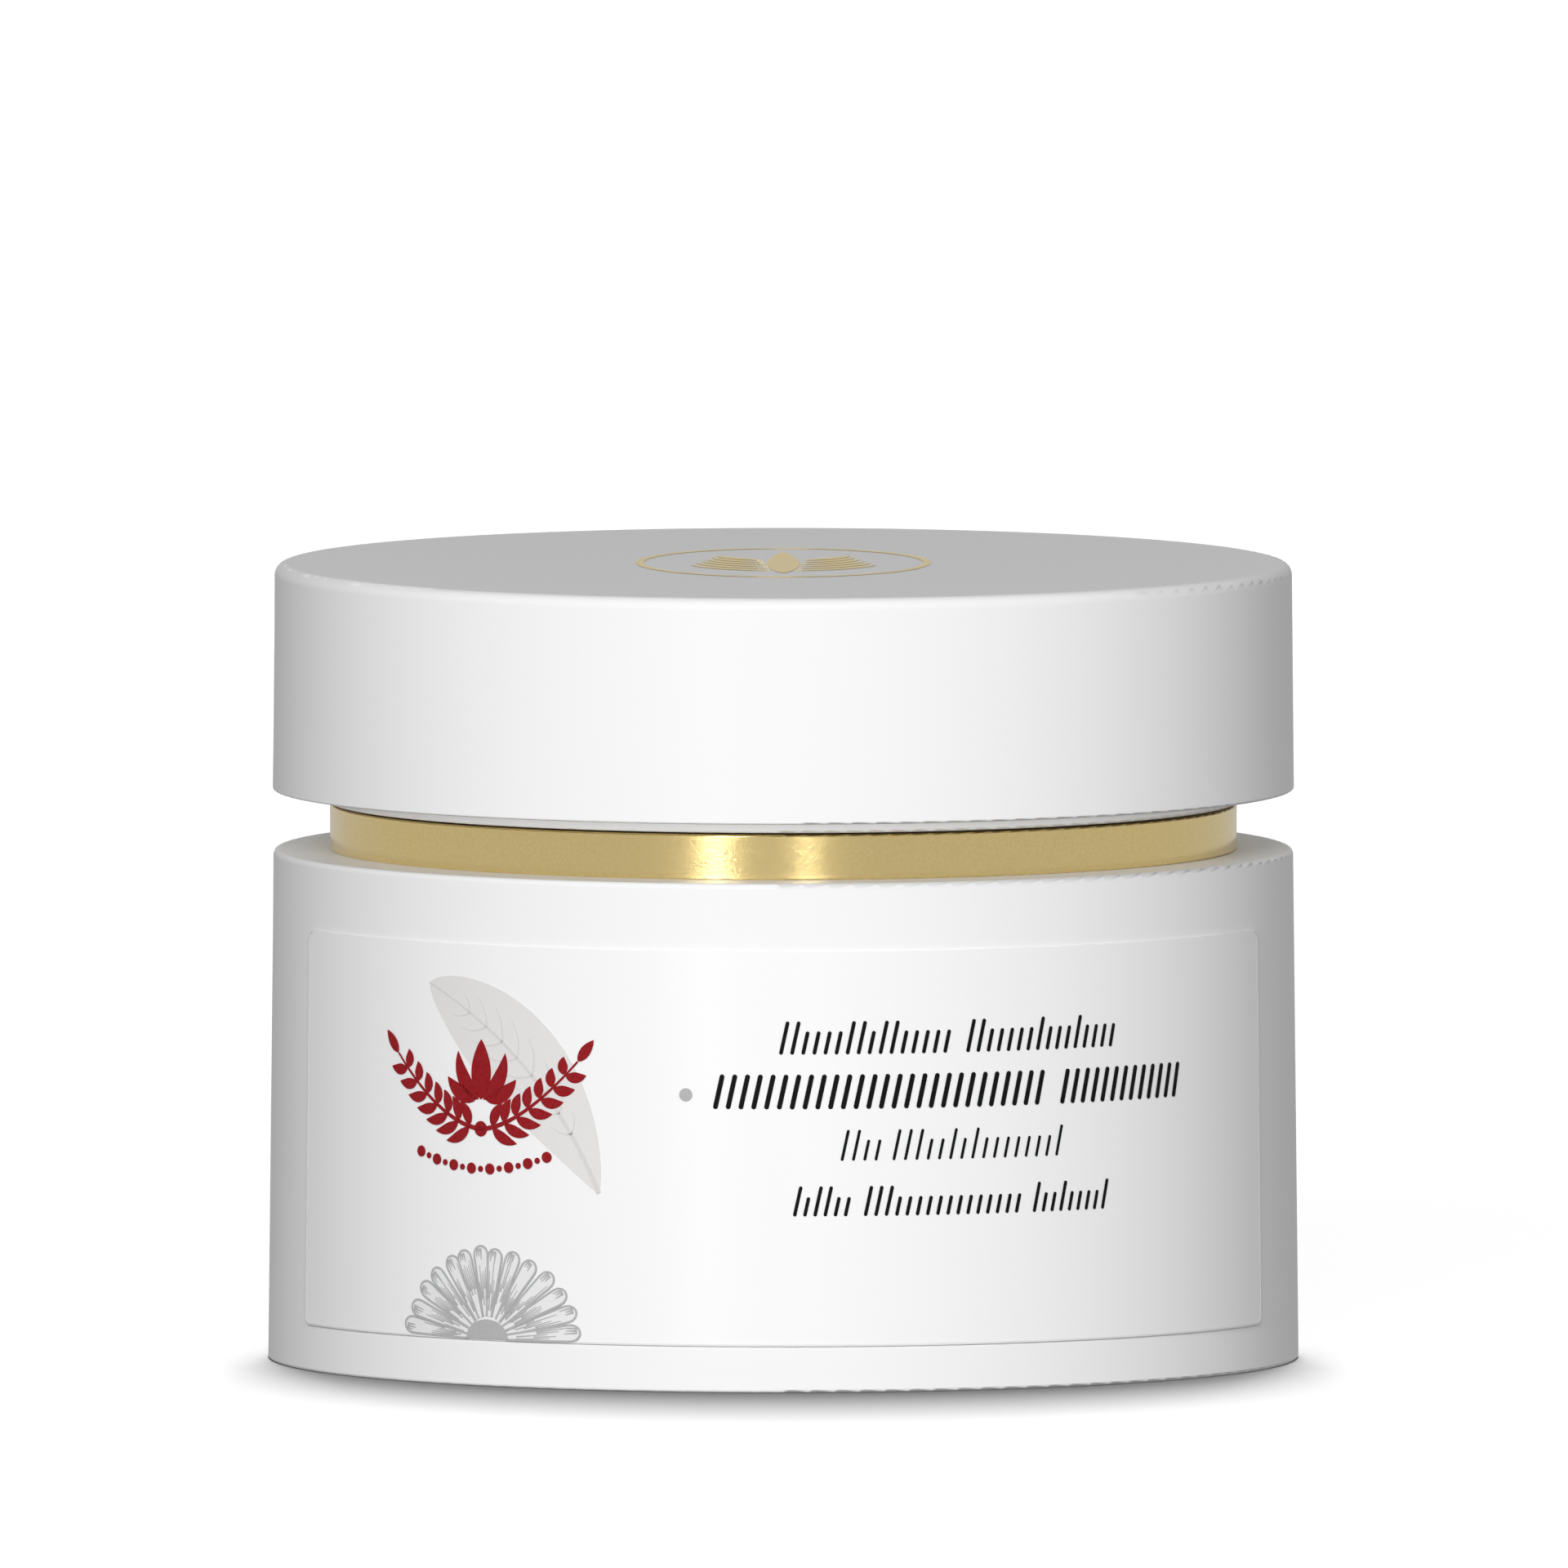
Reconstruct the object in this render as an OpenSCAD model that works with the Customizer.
// Cosmetic cream jar with a double wall, a gold neck ring and a screw lid.
// The origin is the centre of the foot, +Z is up, and the label faces -Y. All sizes are millimetres.
// Every piece is turned about Z, so most of them are one outline, drawn as radius against height.

/* [Outer jar] */

// Height of the jar body, from the table to the flat shoulder
body_h = 33; // [30:0.5:40]
// Radius of the body at the shoulder
body_r = 33; // [32.5:0.1:33.5]
// How much wider the body is at the foot, so that the mould core draws out downwards
body_draft = 0.35; // [0.1:0.05:0.6]
// Rounding of the shoulder's outer edge
shoulder_round = 0.35; // [0.2:0.05:0.8]
// Rounding of the foot's outer edge
foot_round = 0.2; // [0.1:0.05:0.8]
// Thickness of the outer jar's wall and of its shoulder
jar_wall = 2; // [1.8:0.1:2.2]

/* [Inner cup] */

// Inside radius of the cup
cup_r = 25.4; // [24:0.1:25.6]
// Wall of the cup below its flange
cup_wall = 1.2; // [1:0.1:1.4]
// Height of the cup's inside floor above the table
cup_floor_z = 12.2; // [8:0.2:16]
// Rounding inside the bottom of the cup
cup_round = 9; // [5:0.5:12]
// Height of the neck's rim above the shoulder
neck_h = 13.7; // [13.5:0.1:13.9]
// Height of the cream's surface above the cup's floor
fill_h = 26.4; // [10:0.2:28]

/* [Gold collar] */

// Outside radius of the collar
collar_r = 29.35; // [29.25:0.05:29.45]
// Height of the collar
collar_h = 2.95; // [2.8:0.05:3]

/* [Thread] */

// Height that the lid climbs in one full turn
thread_lead = 8; // [7.6:0.1:8]
// Number of ridges that start round the neck
thread_starts = 2; // [2:1:2]
// Angle that each ridge winds through
thread_sweep = 330; // [240:15:330]
// Width of a ridge where it leaves the wall
ridge_base_w = 2.3; // [2:0.05:2.4]
// Width of a ridge along its crest
ridge_crest_w = 1.1; // [0.8:0.05:1.2]

/* [Lid] */

// Height of the overcap's rim above the shoulder
rim_gap = 3.85; // [3.8:0.05:4]
// Height of the overcap, from its rim to its flat top
lid_h = 14.65; // [14.6:0.05:16]
// Radius of the overcap at its rim
lid_r = 33.05; // [32.8:0.05:33.4]
// How much narrower the overcap is at its top
lid_draft = 0.13; // [0:0.01:0.2]
// Rounding of the overcap's top edge
lid_top_round = 0.75; // [0.4:0.05:1.2]
// Rounding of the overcap's rim
lid_rim_round = 0.15; // [0.1:0.05:0.5]
// How far the inner cap's skirt shows below the overcap
skirt_drop = 0.8; // [0.7:0.05:0.9]
// Number of ribs that hold the inner cap centred in the overcap
rib_count = 24; // [12:4:36]

/* [Front label] */

// Height of the label's lower edge above the table
label_bottom = 3; // [2:0.1:6]
// Height of the label's upper edge above the table
label_top = 28.6; // [20:0.1:29.5]
// Angle that the label wraps to each side of the front
label_half_angle = 67.7; // [30:0.1:80]
// Rounding of the label's corners
label_corner = 0.6; // [0.3:0.1:3]
// Thickness of the label film
label_t = 0.1; // [0.06:0.01:0.2]

/* [Hidden] */

white_plastic = [0.95, 0.95, 0.95];
gold_metal = [0.80, 0.68, 0.42];
cream_colour = [0.97, 0.95, 0.90];
foam_colour = [0.90, 0.90, 0.88];
film_colour = [0.94, 0.94, 0.94];

through = 1;                                // how far a cutting shape passes beyond what it cuts
glue_gap = 0.03;                            // film of glue or air between two pieces of one body
fit_gap = 0.05;                             // play of a pressed or seated piece

// Base plate, seated in a step inside the foot
plate_z = 0.6;
plate_top = 2.4;
seat_r = body_r + body_draft - 1.6;
plate_recess_r = 24;
plate_recess = 0.3;
gate_dimple_r = 1.2;

// Inner cup, hung in the shoulder's hole by its flange
cup_draft = 0.5;
neck_wall = 1.5;
neck_r = cup_r + neck_wall;
neck_top = body_h + neck_h;
hole_gap = 0.1;
flange_r = collar_r - 0.75;
flange_h = collar_h - 0.65;
snap_bead_r = 0.45;
rim_round = 0.4;

// Gold collar, pressed over the flange
collar_web_r = neck_r + 1.2;
collar_edge = 0.15;

// Thread ridges, on the neck and inside the inner cap
ridge_h = 1.1;
cap_ridge_h = 1.15;
ridge_root = 0.2;                           // depth of a ridge's foot inside the wall it grows from
ridge_z = body_h + 4.6;
ridge_step = 7.5;
ridge_fade = 4;                             // steps over which a ridge rises out of its wall
ridge_end_height = 0.1;
thread_play = 0.1;                          // how much nearer the lid's ridges sit to the neck's from below

// Sealing disc, seated on the neck's rim
disc_flange_r = neck_r - 0.3;
disc_flange_t = 0.8;
disc_wall = 0.7;
disc_dish_r = cup_r - 0.3;
disc_depth = 2.1;
grip_length = 14;
grip_t = 1.4;
grip_h = 1.7;

// Inner cap and its liner
liner_t = 1;
liner_r = neck_r + 1.25;
liner_bottom = neck_top + 0.9;
roof_bottom = liner_bottom + liner_t + glue_gap;
roof_t = 1.2;
skirt_r = collar_r + 0.2;
skirt_bore_r = neck_r + ridge_h + 0.35;
skirt_z = body_h + rim_gap - skirt_drop;
skirt_edge = 0.2;
liner_bead_r = 0.6;
cap_flange_z = body_h + rim_gap + 1.35;
cap_flange_t = 1;
rib_t = 0.8;

// Overcap
lid_rim_z = body_h + rim_gap;
lid_top_z = lid_rim_z + lid_h;
lid_wall = 1.5;
lid_bore_r = lid_r - lid_wall;
lid_bore_top_r = lid_bore_r - lid_draft;
lid_bead_r = 0.6;
rib_r = lid_bore_top_r - fit_gap;

// Radius of the body's outer wall at a height
function body_wall_r(z) = body_r + body_draft * (body_h - z) / body_h;

// Inside radius of the cup at a height
function cup_bore_r(z) = cup_r - cup_draft * (neck_top - z) / neck_top;

// Centre of the circle that rounds the corner between a flat face at z and a sloping wall.
// The wall passes through radius wall_r at z and gains slope mm of radius for each mm of height.
// inward is +1 where the circle lies above the face and -1 where it lies below.
function corner_centre(z, wall_r, slope, corner, inward) =
    [wall_r + inward * corner * slope - corner * sqrt(1 + slope * slope), z + inward * corner];

// Point where that circle meets the wall
function corner_touch(centre, slope, corner) = centre + corner / sqrt(1 + slope * slope) * [1, -slope];

// Half outline of a turned block: flat faces at z_low and z_high, a straight wall between the two
// radii, and true arcs at its two corners.
module turned_block(z_low, z_high, r_low, r_high, round_low = 0, round_high = 0) {
    slope = (r_high - r_low) / (z_high - z_low);
    low = corner_centre(z_low, r_low, slope, round_low, 1);
    high = corner_centre(z_high, r_high, slope, round_high, -1);
    polygon([
        [0, z_low],
        [low.x, z_low],
        corner_touch(low, slope, round_low),
        corner_touch(high, slope, round_high),
        [high.x, z_high],
        [0, z_high]
    ]);
    if (round_low > 0) {
        translate(low) circle(r = round_low);
    }
    if (round_high > 0) {
        translate(high) circle(r = round_high);
    }
}

// One helical ridge that grows from base_r to crest_r, wound right-handed up from z = 0
module ridge(base_r, crest_r) {
    steps = round(thread_sweep / ridge_step);
    flank = crest_r > base_r ? 1 : -1;
    function height(i) = max(ridge_end_height, min(1, i / ridge_fade, (steps - i) / ridge_fade));
    function corner(i, r, half_w) = [
        r * cos(i * ridge_step),
        r * sin(i * ridge_step),
        thread_lead * i * ridge_step / 360 + flank * half_w
    ];
    function section(i) = let(tip_r = base_r + (crest_r - base_r) * height(i)) [
        corner(i, base_r, -ridge_base_w / 2),
        corner(i, tip_r, -ridge_crest_w / 2),
        corner(i, tip_r, ridge_crest_w / 2),
        corner(i, base_r, ridge_base_w / 2)
    ];
    function strip(a, b) = [[a, b, b + 4], [a, b + 4, a + 4]];
    sides = [for (i = [0:steps - 1], j = [0:3]) each strip(4 * i + j, 4 * i + (j + 1) % 4)];
    ends = [[3, 2, 1], [3, 1, 0], [4 * steps, 4 * steps + 1, 4 * steps + 2],
            [4 * steps, 4 * steps + 2, 4 * steps + 3]];
    polyhedron(points = [for (i = [0:steps]) each section(i)], faces = concat(sides, ends));
}

// All the ridges of one thread, starting at an angle
module thread(base_r, crest_r, start_angle, z) {
    for (k = [0:thread_starts - 1]) {
        rotate([0, 0, start_angle + k * 360 / thread_starts])
            translate([0, 0, z])
                ridge(base_r, crest_r);
    }
}

// White outer shell: drafted wall, flat shoulder with the neck's hole, and a step for the base plate
module outer_jar() {
    color(white_plastic)
        rotate_extrude()
            difference() {
                turned_block(0, body_h, body_r + body_draft, body_r, foot_round, shoulder_round);
                turned_block(plate_top, body_h - jar_wall, body_r + body_draft - jar_wall, body_r - jar_wall, 0, 1);
                translate([0, -through]) square([seat_r, plate_top + through]);
                square([neck_r + hole_gap, body_h + through]);
            }
}

// Round plate that closes the foot, set up inside the rim, with a shallow recess and a moulding gate
module base_plate() {
    color(white_plastic)
        rotate_extrude()
            difference() {
                turned_block(plate_z, plate_top, seat_r - fit_gap, seat_r - fit_gap, 0.3);
                square([plate_recess_r, plate_z + plate_recess]);
                translate([0, plate_z + plate_recess]) circle(r = gate_dimple_r / 2);
            }
}

// Inside form of the cup, up to a height and drawn in from the wall by a gap
module cup_inside(top_z, gap = 0) {
    turned_block(
        cup_floor_z + gap, top_z, cup_bore_r(cup_floor_z) - gap, cup_bore_r(top_z) - gap,
        cup_round - gap
    );
}

// Liner that holds the cream: rounded bottom, flange that sits on the shoulder, and threaded neck
module inner_cup() {
    color(white_plastic)
        union() {
            rotate_extrude()
                difference() {
                    union() {
                        turned_block(
                            cup_floor_z - cup_wall, neck_top, neck_r - cup_draft, neck_r,
                            cup_round + cup_wall, rim_round
                        );
                        translate([0, body_h]) square([flange_r, flange_h]);
                        translate([neck_r - 0.1, body_h - jar_wall - snap_bead_r]) circle(r = snap_bead_r);
                    }
                    cup_inside(neck_top + through);
                }
            thread(neck_r - ridge_root, neck_r + ridge_h, 0, ridge_z);
        }
}

// Gold ring: its top web hooks over the cup's flange
module gold_collar() {
    color(gold_metal)
        rotate_extrude()
            translate([0, body_h])
                difference() {
                    turned_block(0, collar_h, collar_r, collar_r, collar_edge / 2, collar_edge);
                    translate([0, -through]) square([flange_r + fit_gap, flange_h + through]);
                    square([collar_web_r, collar_h + through]);
                }
}

// The cream itself, a hair clear of the cup so that the two can be told apart
module cream_fill() {
    color(cream_colour)
        rotate_extrude()
            cup_inside(cup_floor_z + fill_h, glue_gap);
}

// Square-cornered sliver outside one rounded corner of the label
module label_corner_waste(side, up) {
    corner_angle = label_corner / body_r * 180 / PI;
    rotate([0, 0, side * (label_half_angle - corner_angle) - 90])
        translate([body_r - 1, 0, up > 0 ? label_top - label_corner : label_bottom + label_corner])
            difference() {
                translate([0, min(side, 0) * 2 * label_corner, min(up, 0) * 2 * label_corner])
                    cube([3, 2 * label_corner, 2 * label_corner]);
                translate([-through, 0, 0])
                    rotate([0, 90, 0])
                        cylinder(r = label_corner, h = 3 + 2 * through);
            }
}

// Thin white film with rounded corners, wrapped round the front of the drafted wall
module front_label() {
    low_r = body_wall_r(label_bottom) + glue_gap;
    high_r = body_wall_r(label_top) + glue_gap;
    color(film_colour)
        difference() {
            rotate([0, 0, -90 - label_half_angle])
                rotate_extrude(angle = 2 * label_half_angle)
                    polygon([
                        [low_r, label_bottom],
                        [low_r + label_t, label_bottom],
                        [high_r + label_t, label_top],
                        [high_r, label_top]
                    ]);
            for (side = [-1, 1], up = [-1, 1]) {
                label_corner_waste(side, up);
            }
        }
}

// Shallow dish that covers the cream, with a flange on the neck's rim and a grip to lift it by
module sealing_disc() {
    dish_z = neck_top - disc_depth;
    color(white_plastic)
        union() {
            rotate_extrude()
                difference() {
                    union() {
                        turned_block(dish_z, neck_top + disc_flange_t, disc_dish_r, disc_dish_r, 0.5);
                        translate([0, neck_top]) square([disc_flange_r, disc_flange_t]);
                    }
                    translate([0, dish_z + disc_wall]) square([disc_dish_r - disc_wall, 2 * disc_depth]);
                }
            translate([-grip_length / 2, -grip_t / 2, dish_z + disc_wall / 2])
                cube([grip_length, grip_t, grip_h + disc_wall / 2]);
            for (side = [-1, 1]) {
                translate([side * grip_length / 2, 0, dish_z + disc_wall / 2])
                    cylinder(d = grip_t, h = grip_h + disc_wall / 2);
            }
        }
}

// Foam disc under the inner cap's roof
module cap_liner() {
    color(foam_colour)
        translate([0, 0, liner_bottom])
            cylinder(r = liner_r, h = liner_t);
}

// Threaded inner cap: skirt, roof, a flange and ribs that centre it in the overcap, and a bead
// that keeps the liner in
module inner_cap() {
    color(white_plastic)
        union() {
            rotate_extrude()
                difference() {
                    union() {
                        turned_block(skirt_z, roof_bottom + roof_t, skirt_r, skirt_r, skirt_edge, skirt_edge);
                        translate([0, cap_flange_z]) square([lid_bore_r - 0.15, cap_flange_t]);
                    }
                    difference() {
                        translate([0, skirt_z - through]) square([skirt_bore_r, roof_bottom - skirt_z + through]);
                        translate([skirt_bore_r + 0.15, liner_bottom - liner_bead_r])
                            circle(r = liner_bead_r);
                    }
                }
            for (i = [0:rib_count - 1]) {
                rotate([0, 0, i * 360 / rib_count])
                    translate([skirt_bore_r + 0.5, -rib_t / 2, cap_flange_z + cap_flange_t / 2])
                        cube([rib_r - skirt_bore_r - 0.5, rib_t, roof_bottom - cap_flange_z - cap_flange_t / 2]);
            }
            thread(skirt_bore_r + ridge_root, skirt_bore_r - cap_ridge_h, 180 / thread_starts, ridge_z + thread_play);
        }
}

// Outer lid shell that shows: drafted wall, flat top, and a bead that snaps under the inner cap's flange
module overcap() {
    color(white_plastic)
        rotate_extrude()
            difference() {
                turned_block(lid_rim_z, lid_top_z, lid_r, lid_r - lid_draft, lid_rim_round, lid_top_round);
                difference() {
                    turned_block(
                        lid_rim_z - through, roof_bottom + roof_t + glue_gap,
                        lid_bore_r, lid_bore_top_r, 0, 0.6
                    );
                    translate([lid_bore_r + lid_bead_r / 2, cap_flange_z - lid_bead_r])
                        circle(r = lid_bead_r);
                }
            }
}

outer_jar();
base_plate();
inner_cup();
gold_collar();
cream_fill();
front_label();
sealing_disc();
cap_liner();
inner_cap();
overcap();
